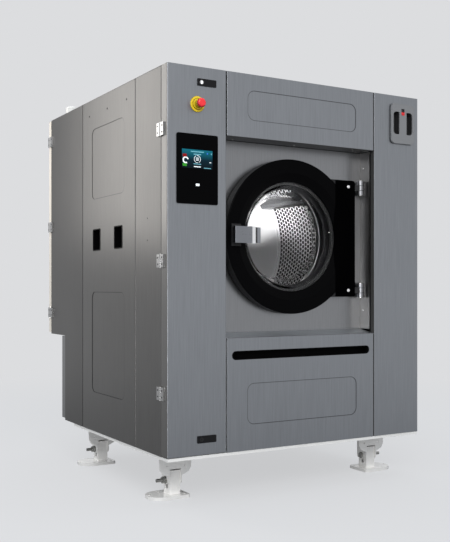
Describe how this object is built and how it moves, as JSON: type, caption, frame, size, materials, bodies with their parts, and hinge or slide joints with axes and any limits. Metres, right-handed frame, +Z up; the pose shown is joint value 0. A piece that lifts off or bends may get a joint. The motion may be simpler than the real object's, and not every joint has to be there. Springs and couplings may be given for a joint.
{
  "type": "washer-extractor",
  "caption": "Free-standing industrial front-loading washer-extractor with a round glass door in an alcove, touch controls, a drawer for detergent, service doors and plate feet.",
  "frame": {"origin": "floor level, at the centre of the whole machine's box in plan", "axes": "+X to the machine's right as seen from the front, +Y from the front to the rear, +Z up"},
  "size_m": [1.4312, 1.581, 1.98],
  "materials": {
    "front_steel": "fine brushed, satin",
    "side_steel": "fine brushed, satin",
    "alcove_steel": "polished, mirrors its surroundings softly",
    "frame_steel": "plain stainless",
    "leg_steel": "glass-blasted stainless",
    "bolt_steel": "turned steel",
    "hinge_steel": "ground stainless",
    "handle_steel": "brushed along its length",
    "drum_steel": "polished stainless",
    "lock_chrome": "polished",
    "lock_dark": "blackened",
    "door_black": "semi-gloss black",
    "dark_paint": "satin",
    "grey_paint": "satin",
    "motor_paint": "satin",
    "cast_iron": "painted casting",
    "brass": "machined",
    "rubber": "matte",
    "black_plastic": "fine grain",
    "grey_plastic": "fine grain",
    "white_plastic": "smooth",
    "drawer_grey": "metallic grey, satin",
    "collar_yellow": "smooth",
    "stop_red": "smooth",
    "latch_red": "smooth",
    "screen_black": "smooth, with a glass face",
    "door_glass": "smoked, clear"
  },
  "bodies": {
    "cabinet": {"base_frame": "frame_steel", "upper_frame": "frame_steel", "leg_posts": "leg_steel", "foot_plates": "leg_steel", "leg_clamp_bolts": "bolt_steel", "roof_panel": "side_steel", "roof_vent": "white_plastic", "side_front_panels": "side_steel", "side_centre_panels": "side_steel", "side_rear_panels": "side_steel", "side_grips": "black_plastic", "front_top_panel": "front_steel", "front_right_column": "front_steel", "front_lower_panel": "front_steel", "lower_slot_insert": "black_plastic", "alcove_liner": "alcove_steel", "fixed_hinge_leaves": "hinge_steel", "hinge_pins": "hinge_steel", "rear_panels": "side_steel", "dispenser_housing": "grey_plastic", "water_inlets": "brass", "cable_gland": "black_plastic", "air_springs": "rubber", "damper_bodies": "dark_paint", "door_boot": "rubber", "drive_inverter": "grey_paint"},
    "tub": {"tub_shell": "frame_steel", "tub_back": "frame_steel", "bearing_housing": "cast_iron", "bearings": "bolt_steel", "tub_brackets": "frame_steel", "damper_rods": "bolt_steel", "motor": "motor_paint", "drive_belt": "rubber", "drain_valve": "black_plastic"},
    "drum": {"drum_shell": "drum_steel", "drum_back": "drum_steel", "drum_lifters": "drum_steel", "drum_shaft": "bolt_steel", "drum_pulley": "cast_iron"},
    "motor_rotor": {"motor_pulley": "bolt_steel"},
    "door": {"door_frame": "door_black", "door_glass": "door_glass", "glass_gasket": "rubber", "door_hinge_leaves": "hinge_steel", "handle_base": "black_plastic"},
    "door_handle": {"handle_lever": "handle_steel"},
    "control_door": {"control_door_panel": "front_steel", "touch_screen": "screen_black", "stop_collar": "collar_yellow", "lock_housings": "black_plastic", "control_door_hinge_leaves": "hinge_steel"},
    "stop_knob": {"stop_button": "stop_red"},
    "upper_lock_barrel": {"upper_lock": "lock_chrome"},
    "lower_lock_barrel": {"lower_lock": "lock_dark"},
    "rear_door": {"rear_door_panel": "side_steel", "rear_door_hinge_leaves": "hinge_steel"},
    "drawer": {"drawer_front": "drawer_grey", "drawer_tray": "white_plastic"},
    "drawer_lock": {"drawer_latch": "latch_red"}
  },
  "joints": [
    {"name": "tub_float", "type": "slide", "parent": "cabinet", "child": "tub", "axis": [0, 0, 1], "range_m": [-0.01, 0.01], "stiffness_N_per_m": 113000, "springref_m": 0.03977, "deforming": ["air_springs", "door_boot"]},
    {"name": "drum_spin", "type": "hinge", "parent": "tub", "child": "drum", "pos_m": [-0.0256, 0, 1.19], "axis": [0, 1, 0], "continuous": true},
    {"name": "motor_spin", "type": "hinge", "parent": "tub", "child": "motor_rotor", "pos_m": [-0.0256, 0, 0.45], "axis": [0, 1, 0], "continuous": true},
    {"name": "door_swing", "type": "hinge", "parent": "cabinet", "child": "door", "pos_m": [0.3924, -0.6805, 1.19], "axis": [0, 0, 1], "range_deg": [0, 95]},
    {"name": "handle_pull", "type": "hinge", "parent": "door", "child": "door_handle", "pos_m": [-0.3496, -0.7135, 1.189], "axis": [0, 0, -1], "range_deg": [0, 25], "stiffness_Nm_per_rad": 4},
    {"name": "control_door_swing", "type": "hinge", "parent": "cabinet", "child": "control_door", "pos_m": [-0.7106, -0.6855, 1.065], "axis": [0, 0, -1], "range_deg": [0, 110]},
    {"name": "stop_press", "type": "slide", "parent": "control_door", "child": "stop_knob", "axis": [0, 1, 0], "range_m": [0, 0.005], "stiffness_N_per_m": 2500},
    {"name": "upper_lock_turn", "type": "hinge", "parent": "control_door", "child": "upper_lock_barrel", "pos_m": [-0.5406, -0.7425, 1.843], "axis": [0, 1, 0], "range_deg": [0, 90]},
    {"name": "lower_lock_turn", "type": "hinge", "parent": "control_door", "child": "lower_lock_barrel", "pos_m": [-0.5406, -0.7425, 0.29], "axis": [0, -1, 0], "range_deg": [0, 90]},
    {"name": "rear_door_swing", "type": "hinge", "parent": "cabinet", "child": "rear_door", "pos_m": [-0.7106, 0.751, 1.297], "axis": [0, 0, 1], "range_deg": [0, 110]},
    {"name": "drawer_slide", "type": "slide", "parent": "cabinet", "child": "drawer", "axis": [0, -1, 0], "range_m": [0, 0.19]},
    {"name": "drawer_latch_slide", "type": "slide", "parent": "drawer", "child": "drawer_lock", "axis": [0, 0, 1], "range_m": [0, 0.016]}
  ],
  "couplings": [
    {"joint": "motor_spin", "follows": "drum_spin", "ratio": 5}
  ]
}
